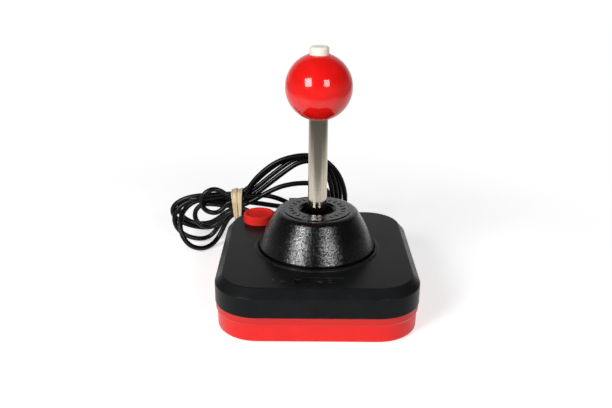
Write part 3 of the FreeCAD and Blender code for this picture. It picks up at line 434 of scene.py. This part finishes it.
def moulded(
    name, dark, light, roughness, grain_mm, height_mm, level,
    dust="#77736c", dusty=0.05, wear_and_glint=None, shade=None,
):
    """Moulded plastic: two close tones in soft patches, the tool's grain, some dust, edges polished by use,
    their paler colour partly a painted highlight.

    The worn colour is that of rubbed edges: partly real wear, partly a painted highlight. Shade is painted
    shade: two heights in mm and the colour it turns to between them.
    """
    material, tree, shader, place = new_material(name, Specular_IOR_Level=level)
    patches = grains(tree, place, size_mm=14.0, low=0.3, high=0.7, detail=3.0)
    colour = tint(tree, patches, dark, light)
    # Dust is really finer than these specks, which are drawn coarser so that they show
    specks = grains(tree, place, size_mm=0.9, low=0.66, high=0.74)
    colour = tint(tree, span(tree, specks, 0.0, dusty), colour, dust)
    # Painted shade: from the lower height up the colour turns to the third one
    if shade:
        low, high, third = shade
        height = add(tree, "SeparateXYZ", {"Vector": place}).outputs["Z"]
        colour = tint(tree, ramp(tree, height, (low * MM, high * MM)), colour, third)
    # The gloss differs by a seventh from patch to patch
    rough = span(tree, patches, roughness * 0.86, roughness * 1.14)
    # Rubbed edges are smoother and mirror more; their paler colour is partly wear and partly a painted
    # highlight
    if wear_and_glint:
        edges = wear_and_glint_edges(tree, place, width_mm=0.8)
        colour = tint(tree, span(tree, edges, 0.0, 0.5), colour, wear_and_glint)
        rough = reckon(tree, "MULTIPLY", rough, span(tree, edges, 1.0, 0.55))
        feed(tree, shader, Specular_IOR_Level=span(tree, edges, level, 0.5))
    # A tool's grain is really 0.1 to 0.3 mm; it is drawn coarser so that a view of the whole object shows it
    grain = grains(tree, place, grain_mm, low=0.0, high=1.0)
    normal = relief(tree, grain, height_mm, strength=0.6)
    feed(tree, shader, Base_Color=colour, Roughness=rough, Normal=normal)
    return material


def drawn_metal(name, dull, bright, roughness, run, line_mm=0.4):
    """Metal drawn, rolled or turned: dull spots and fine lines, along which the run's scale is small."""
    material, tree, shader, place = new_material(name, Metallic=1.0)
    # Drawing and turning really leave lines under 0.1 mm apart; these are coarser so that they show
    lines = grains(tree, stretched(tree, place, run), line_mm, low=0.25, high=0.75, detail=3.0)
    spots = grains(tree, place, size_mm=3.0, low=0.35, high=0.65, detail=4.0)
    both = reckon(tree, "MULTIPLY", lines, spots)
    colour = tint(tree, both, bright, dull)
    rough = span(tree, both, roughness * 0.75, roughness * 1.5)
    feed(tree, shader, Base_Color=colour, Roughness=rough, Normal=relief(tree, lines, 0.01, strength=0.5))
    return material


def pebbled_turret():
    """Black ABS from a coarsely etched tool: rounded pebbles that break each highlight into sparks."""
    material, tree, shader, place = new_material("pebbled_black_abs", IOR=1.53)
    # The pebbles are really about 0.5 mm; they are drawn slightly coarser so that they show
    pebbles = grains(tree, place, size_mm=0.62, low=0.2, high=0.8, detail=1.0)
    patches = grains(tree, place, size_mm=6.0, low=0.3, high=0.7, detail=3.0)
    colour = tint(tree, patches, "#060607", "#0a0a0b")
    rough = span(tree, pebbles, 0.25, 0.12)
    # Only the tops of the pebbles shine; the dips between them are dull
    tops = add(tree, "Clamp", {"Value": span(tree, pebbles, -0.3, 1.35)}).outputs["Result"]
    normal = relief(tree, pebbles, 0.075, strength=1.0)
    feed(tree, shader, Base_Color=colour, Roughness=rough, Specular_IOR_Level=tops, Normal=normal)
    return material


def polished_ball():
    """Cast phenolic, tumbled to a wet-looking gloss: deep red, faintly clouded, with hairline scratches."""
    material, tree, shader, place = new_material("polished_red_phenolic", IOR=1.5)
    clouds = grains(tree, place, size_mm=9.0, low=0.3, high=0.7, detail=1.0)
    # Scratches from hands are really finer; they are drawn coarser so that they soften the gloss in places
    slanted = stretched(tree, place, (1.0, 1.0, 0.05), rotation=(0.6, 0.9, 0.0))
    hairs = grains(tree, slanted, size_mm=0.5, low=0.62, high=0.72)
    colour = tint(tree, clouds, "#e81411", "#f21a16")
    rough = reckon(tree, "ADD", span(tree, clouds, 0.1, 0.13), span(tree, hairs, 0.0, 0.03))
    feed(tree, shader, Base_Color=colour, Roughness=rough, Normal=relief(tree, clouds, 0.003, strength=0.3))
    return material


def nickel_shaft():
    """Nickel on a turned steel rod: mirror-like but warm, pitted with use, and painted darker up under the
    ball as its shade.
    """
    material, tree, shader, place = new_material("worn_nickel_painted_shade", Metallic=1.0)
    # Painted shade: the nickel turns darker up towards the ball, which shades it
    height = add(tree, "SeparateXYZ", {"Vector": place}).outputs["Z"]
    dull = ramp(tree, height, (SHAFT_SHADE_HEIGHTS[0] * MM, SHAFT_SHADE_HEIGHTS[1] * MM))
    # The streaks and pits are really finer than this; they are drawn coarser so that they show
    upright = stretched(tree, place, (1.0, 1.0, 0.06))
    lines = grains(tree, upright, size_mm=0.8, low=0.35, high=0.65, detail=3.0)
    pits = grains(tree, place, size_mm=0.7, low=0.5, high=0.7)
    colour = tint(tree, dull, "#c9bfae", "#968d80")
    colour = tint(tree, span(tree, lines, 0.0, 0.3), colour, "#8c857a")
    colour = tint(tree, span(tree, pits, 0.0, 0.22), colour, "#7a7367")
    rough = reckon(tree, "ADD", span(tree, lines, 0.07, 0.12), span(tree, pits, 0.0, 0.05))
    feed(tree, shader, Base_Color=colour, Roughness=rough, Normal=relief(tree, pits, -0.006, strength=0.5))
    return material


def stretched_rubber():
    """Natural rubber, stretched: warm beige with darker grey-brown streaks along each turn, a soft bloom."""
    material, tree, shader, place = new_material(
        "natural_rubber", Specular_IOR_Level=0.3, Sheen_Weight=0.15, Sheen_Roughness=0.5,
    )
    along = stretched(tree, place, (1.0, 0.08, 0.08))
    streaks = grains(tree, along, size_mm=0.9, low=0.45, high=0.68, detail=3.0)
    patches = grains(tree, place, size_mm=4.0, low=0.3, high=0.7, detail=3.0)
    colour = tint(tree, patches, "#e6cfa6", "#f2dfbd")
    colour = tint(tree, span(tree, streaks, 0.0, 0.75), colour, "#8d7a60")
    rough = span(tree, patches, 0.5, 0.68)
    normal = relief(tree, streaks, -0.08, strength=0.7)
    feed(tree, shader, Base_Color=colour, Roughness=rough, Normal=normal)
    return material


def paper_phenolic(name, dark, light):
    """Resin-soaked paper: brown, with short fibres that lie every way and a satin cut face."""
    material, tree, shader, place = new_material(name, Specular_IOR_Level=0.4)
    bent = add(tree, "TexNoise", {"Vector": place, "Scale": 1 / (5 * MM), "Detail": 2.0, "Distortion": 3.0})
    # Paper fibres are really much thinner; they are drawn coarser so that they show
    fibres = grains(tree, place, size_mm=0.7, low=0.4, high=0.62, detail=4.0)
    colour = tint(tree, bent.outputs["Fac"], dark, light)
    colour = tint(tree, span(tree, fibres, 0.0, 0.35), colour, "#2c1a0d")
    rough = span(tree, fibres, 0.42, 0.6)
    feed(tree, shader, Base_Color=colour, Roughness=rough, Normal=relief(tree, fibres, 0.02, strength=0.5))
    return material


def make_piece(name, shape, body, slot):
    """Turns a finished bmesh into a piece that rides on a body."""
    bmesh.ops.recalc_face_normals(shape, faces=shape.faces[:])
    mesh = bpy.data.meshes.new(name)
    shape.to_mesh(mesh)
    shape.free()
    mesh.materials.append(finishes[slot])
    piece = bpy.data.objects.new(name, mesh)
    bpy.context.collection.objects.link(piece)
    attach(piece, body)
    return piece


def soft_copy(name):
    """A copy of a solid, to be shown in its place."""
    node = nodes[name]
    mesh = node.data.copy()
    mesh.transform(node.matrix_world)
    piece = bpy.data.objects.new("bent_" + name, mesh)
    bpy.context.collection.objects.link(piece)
    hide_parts(name)
    return piece


def band_turn(shape, top_x, foot_x, lift):
    """One turn of the band: an oval strip led round the neck of the hank, leaning from foot to top."""
    _, by, bz = HANK_MIDDLE
    round_out = NECK_ROUND + STRIP_THICK / 2
    half_y = NECK_DEPTH / 2 + STRIP_THICK / 2 + lift
    half_z = NECK_HEIGHT / 2 + STRIP_THICK / 2 + lift
    rings = []
    for k in range(4 * ROUND_STEPS):
        corner = k // ROUND_STEPS
        angle = math.radians(90 * (corner + (k % ROUND_STEPS) / (ROUND_STEPS - 1)))
        out = Vector((0.0, math.cos(angle), math.sin(angle)))
        y = (half_y - round_out) * (1 if corner in (0, 3) else -1) + round_out * out.y
        z = (half_z - round_out) * (1 if corner in (0, 1) else -1) + round_out * out.z
        x = foot_x + (top_x - foot_x) * (z + half_z) / (2 * half_z)
        wide = Vector((STRIP_WIDE / 2, 0.0, 0.0))
        turn = Matrix((wide, out * STRIP_THICK / 2, wide.normalized().cross(out))).transposed().to_4x4()
        place = Matrix.Scale(MM, 4) @ Matrix.Translation((x, by + y, bz + z)) @ turn
        ring = bmesh.ops.create_circle(shape, segments=STRIP_SIDES, radius=1.0, matrix=place)["verts"]
        rings.append(list({edge for vert in ring for edge in vert.link_edges}))
    for first, second in zip(rings, rings[1:] + rings[:1]):
        bmesh.ops.bridge_loops(shape, edges=first + second)


def rubber_band():
    """A rubber band wound several times round the hank, spread at the top and gathered at its foot."""
    shape = bmesh.new()
    for k in range(BAND_TURNS):
        share = k / (BAND_TURNS - 1) - 0.5
        top_x = HANK_MIDDLE[0] + BAND_TOP_SHIFT + share * BAND_TOP_SPREAD
        foot_x = HANK_MIDDLE[0] + BAND_FOOT_SHIFT + share * BAND_FOOT_SPREAD
        band_turn(shape, top_x, foot_x, BAND_LAP * (k % BAND_LAYERS))
    for face in shape.faces:
        face.smooth = True
    band = make_piece("rubber_band", shape, "base", "band_rubber")
    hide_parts("hank_band")
    return band


def raised_mark(shape, corners, foot, height):
    """A flat outline lifted off a moulding, with softened upper edges."""
    face = shape.faces.new([shape.verts.new(Vector((x, y, foot)) * MM) for x, y in corners])
    lifted = bmesh.ops.extrude_face_region(shape, geom=[face])["geom"]
    tops = [v for v in lifted if isinstance(v, bmesh.types.BMVert)]
    rims = [e for e in lifted if isinstance(e, bmesh.types.BMEdge)]
    bmesh.ops.translate(shape, verts=tops, vec=(0.0, 0.0, (height + MARK_ROOT) * MM))
    bmesh.ops.bevel(
        shape, geom=rims, offset=height * MARK_ROUND * MM, segments=2, profile=0.5,
        affect="EDGES", material=-1,
    )


def turret_marks():
    """A plain dial round the stick: an arrow for each way it tilts, with bars between them."""
    shape = bmesh.new()
    arrow = [(RING_MARK_IN, -ARROW_HALF), (RING_MARK_OUT, 0.0), (RING_MARK_IN, ARROW_HALF)]
    bar = [
        (RING_MARK_IN, -BAR_HALF), (RING_MARK_OUT, -BAR_HALF),
        (RING_MARK_OUT, BAR_HALF), (RING_MARK_IN, BAR_HALF),
    ]
    for k in range(RING_MARKS):
        angle = 2 * math.pi * k / RING_MARKS
        cos, sin = math.cos(angle), math.sin(angle)
        outline = arrow if k % (RING_MARKS // RING_ARROWS) == 0 else bar
        corners = [(r * cos - t * sin, r * sin + t * cos) for r, t in outline]
        raised_mark(shape, corners, CONE_TOP - MARK_ROOT, RING_MARK_HEIGHT)
    return make_piece("turret_marks", shape, "base", "black_turret")


def numeral(shape, text, x, y):
    """A raised numeral on the deck."""
    letters = bpy.data.curves.new("numeral_" + text, "FONT")
    letters.body = text
    letters.size = NUMERAL_SIZE * MM
    letters.extrude = DECK_MARK_HEIGHT * MM
    letters.align_x = "CENTER"
    letters.align_y = "CENTER"
    holder = bpy.data.objects.new("numeral_" + text, letters)
    mesh = bpy.data.meshes.new_from_object(holder)
    mesh.transform(Matrix.Translation(Vector((x, y, DECK_Z)) * MM))
    shape.from_mesh(mesh)
    bpy.data.objects.remove(holder)
    bpy.data.meshes.remove(mesh)


def deck_marks():
    """Raised numerals and pointers for the selector's two places, with a thin line over the right one."""
    shape = bmesh.new()
    x, y = SELECTOR
    for side, text in ((-1, "1"), (1, "2")):
        tip, root = x + side * POINTER_TIP, x + side * (POINTER_TIP + POINTER_LONG)
        pointer = [(tip, y), (root, y - POINTER_HALF * side), (root, y + POINTER_HALF * side)]
        raised_mark(shape, pointer, DECK_Z - MARK_ROOT, DECK_MARK_HEIGHT)
        numeral(shape, text, x + side * NUMERAL_REACH, y)
    near, far = LINE_ENDS
    low, high = LINE_EDGES
    line = [(x + u, y + v) for u, v in ((near, low), (far, low), (far, high), (near, high))]
    raised_mark(shape, line, DECK_Z - MARK_ROOT, LINE_HEIGHT)
    return make_piece("deck_marks", shape, "base", "black_housing")


def paper_floor():
    """White paper: soft shadow near the object, plain white further out, grey outside the photo's view.

    The grey is what the ball and the shaft mirror from in front and from the sides.
    """
    mesh = bpy.data.meshes.new("floor")
    shape = bmesh.new()
    bmesh.ops.create_grid(shape, x_segments=1, y_segments=1, size=FLOOR_HALF)
    shape.to_mesh(mesh)
    shape.free()
    floor = bpy.data.objects.new("floor", mesh)
    bpy.context.collection.objects.link(floor)
    material = bpy.data.materials.new("white_paper")
    material.use_nodes = True
    tree = material.node_tree
    tree.nodes.clear()

    ray = add(tree, "LightPath").outputs
    sharp = reckon(tree, "ADD", ray["Is Camera Ray"], ray["Is Glossy Ray"])
    seen = reckon(tree, "ADD", sharp, ray["Is Transmission Ray"], clamp=True)

    place = add(tree, "TexCoord").outputs["Object"]
    away = add(tree, "Mapping", {"Vector": place, "Location": FLOOR_SHIFT}).outputs["Vector"]
    reach = add(tree, "VectorMath", {0: away}, operation="LENGTH").outputs["Value"]
    far = ramp(tree, reach, PLAIN_WHITE, kind="SMOOTHSTEP")
    wide, depth, _ = add(tree, "SeparateXYZ", {"Vector": away}).outputs
    front = ramp(tree, depth, GREY_FRONT, kind="SMOOTHSTEP")
    side = reckon(tree, "MULTIPLY_ADD", depth, -VIEW_WIDENS, reckon(tree, "ABSOLUTE", wide))
    aside = ramp(tree, side, GREY_ASIDE, kind="SMOOTHSTEP")
    grey = reckon(tree, "MAXIMUM", front, aside)

    paper = add(tree, "BsdfDiffuse", {"Color": tint(tree, grey, PAPER_COLOUR, GREY_COLOUR)})
    glow = add(tree, "Emission", {"Strength": reckon(tree, "MULTIPLY", seen, PAPER_LIFT)})
    near = add(tree, "AddShader", {0: paper.outputs["BSDF"], 1: glow.outputs["Emission"]})
    plain = add(tree, "Emission", {"Color": tint(tree, grey, PLAIN_COLOUR, GREY_COLOUR)})
    white = reckon(tree, "MULTIPLY", seen, far)
    mixed = add(tree, "MixShader", {0: white, 1: near.outputs["Shader"], 2: plain.outputs["Emission"]})
    add(tree, "OutputMaterial", {"Surface": mixed.outputs["Shader"]})
    mesh.materials.append(material)


def studio_world():
    """A dim room: a pale backdrop behind the object, a little light from the left, a grey horizon."""
    world = bpy.data.worlds.new("studio")
    bpy.context.scene.world = world
    world.use_nodes = True
    tree = world.node_tree
    tree.nodes.clear()
    way = add(tree, "SeparateXYZ", {"Vector": add(tree, "TexCoord").outputs["Generated"]}).outputs
    behind = ramp(tree, way["Y"], *ROOM_BEHIND)
    left = ramp(tree, way["X"], *ROOM_LEFT)
    low = ramp(tree, way["Z"], *ROOM_LOW)
    level = reckon(tree, "ADD", reckon(tree, "ADD", behind, left), low)
    room = add(tree, "Background", {"Strength": level})
    add(tree, "OutputWorld", {"Surface": room.outputs["Background"]})


right, up, back = photo_camera()
cord = controller_cord()

finishes = {
    # ABS with a fine spark-eroded texture: a dark satin that turns paler where it mirrors the backdrop, its
    # edges painted paler as wear and painted highlight
    "black_housing": moulded(
        "satin_black_abs", "#161718", "#1b1c1d", roughness=0.3, grain_mm=0.7, height_mm=0.02, level=0.06,
        wear_and_glint="#58595b",
    ),
    # The same texture in a bright red: a soft gloss, edges painted paler (partly wear, partly a painted
    # highlight) and a band of painted shade above its step
    "red_housing": moulded(
        "satin_red_abs", "#dd1e1b", "#e52622", roughness=0.38, grain_mm=0.7, height_mm=0.03, level=0.3,
        dust="#f7a79a", dusty=0.06, wear_and_glint="#f4524a", shade=(*RED_STEP_SHADE, "#cd2623"),
    ),
    "black_turret": pebbled_turret(),
    "red_knob": polished_ball(),
    # Urea moulded in a polished tool: nearly white, warmed with age, with a soft even gloss
    "cream_button": moulded(
        "cream_urea", "#fcf3e0", "#fffaec", roughness=0.26, grain_mm=0.8, height_mm=0.02, level=0.5,
        dust="#c9b79c", dusty=0.1,
    ),
    # ABS under many presses: a dull dish with its rim rubbed shinier and painted paler, partly wear and
    # partly a painted highlight
    "red_button": moulded(
        "rubbed_red_abs_painted_glint", "#ec302c", "#f33833", roughness=0.45, grain_mm=0.8, height_mm=0.05, level=0.0,
        dust="#f0b0a6", dusty=0.04, wear_and_glint="#f4544c",
    ),
    # Acetal: dense black with a waxy, dull face
    "black_slider": moulded(
        "black_acetal", "#050506", "#080809", roughness=0.55, grain_mm=0.6, height_mm=0.03, level=0.15,
        dusty=0.02, wear_and_glint="#131314",
    ),
    "plated_shaft": nickel_shaft(),
    # Nylon with glass fibre: a dull black face with paler specks where fibres surface
    "black_nylon": moulded(
        "glass_filled_nylon", "#121212", "#191919", roughness=0.58, grain_mm=0.5, height_mm=0.05, level=0.35,
        dust="#8a8a88", dusty=0.14,
    ),
    # Unfilled nylon: milky and slightly waxy
    "white_nylon": moulded(
        "natural_nylon", "#d6d2c4", "#e2dfd4", roughness=0.42, grain_mm=0.6, height_mm=0.03, level=0.45,
        dust="#b4ae9e", dusty=0.1,
    ),
    # Brass turned on a lathe: rings round the upright axis
    "brass_insert": drawn_metal(
        "turned_brass", "#9a7a3c", "#cfa95c", roughness=0.24, run=(0.05, 0.05, 1.0),
    ),
    # Hard-drawn steel wire: grey, with faint lines along the upright rod
    "spring_steel": drawn_metal(
        "drawn_spring_steel", "#7f7f83", "#b0b0b3", roughness=0.24, run=(1.0, 1.0, 0.06),
    ),
    # Zinc on steel: a bluish white with cloudy dull spots
    "screw_steel": drawn_metal(
        "zinc_plated_steel", "#8f9396", "#c3c6c6", roughness=0.3, run=(1.0, 1.0, 1.0), line_mm=0.8,
    ),
    # Vulcanised rubber: matte, with a chalky bloom
    "black_rubber": moulded(
        "black_rubber", "#101010", "#191918", roughness=0.78, grain_mm=0.8, height_mm=0.06, level=0.25,
        dust="#55524d", dusty=0.18,
    ),
    "board": paper_phenolic("phenolic_board", "#6b3f1d", "#86562b"),
    "leaf_insulator": paper_phenolic("phenolic_slab", "#4e2f18", "#684124"),
    # Rolled brass strip: straight level lines along the blades, dulled by handling
    "leaf_brass": drawn_metal("rolled_brass", "#a58749", "#d6b673", roughness=0.26, run=(0.1, 0.1, 1.0)),
    # Soft PVC: a smooth black skin with a satin shine along each strand and some lint
    "cord_sheath": moulded(
        "soft_black_pvc", "#08080a", "#0d0d0e", roughness=0.26, grain_mm=1.2, height_mm=0.02, level=0.22,
        dust="#8b867d", dusty=0.05,
    ),
    "band_rubber": stretched_rubber(),
    # Tinned steel sheet: pale grey with a drawn, slightly cloudy face
    "plug_steel": drawn_metal("tinned_steel", "#9b9a94", "#c9c8c2", roughness=0.28, run=(0.06, 1.0, 1.0)),
    # Polyester resin: a dull black block with a fine grit
    "plug_insulator": moulded(
        "black_polyester", "#0f0f0f", "#151515", roughness=0.46, grain_mm=0.5, height_mm=0.03, level=0.35,
        dust="#6d6a65", dusty=0.1,
    ),
}
slot_of = {piece["node"]: piece["material_slot"] for piece in frame["record"]["subparts"]}
for name, slot in slot_of.items():
    nodes[name].data.materials.clear()
    nodes[name].data.materials.append(finishes[slot])

for name, body, start, end in PUSHED_BLADES:
    blade = soft_copy(name)
    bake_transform(blade)
spring = soft_copy("plunger_spring")
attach(spring, "stick")
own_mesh(spring)

band = rubber_band()
turret_marks()
deck_marks()

cord.data.materials.append(finishes["cord_sheath"])
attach(cord, "base")
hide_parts("cord_lead", "cord_hank", "cord_tail")

paper_floor()
studio_world()
for name, (way, *lamp) in SOFTBOXES.items():
    softbox(name, right * way[0] + up * way[1] + back * way[2], *lamp)
bpy.context.scene.view_settings.view_transform = "Standard"

bpy.context.view_layer.update()
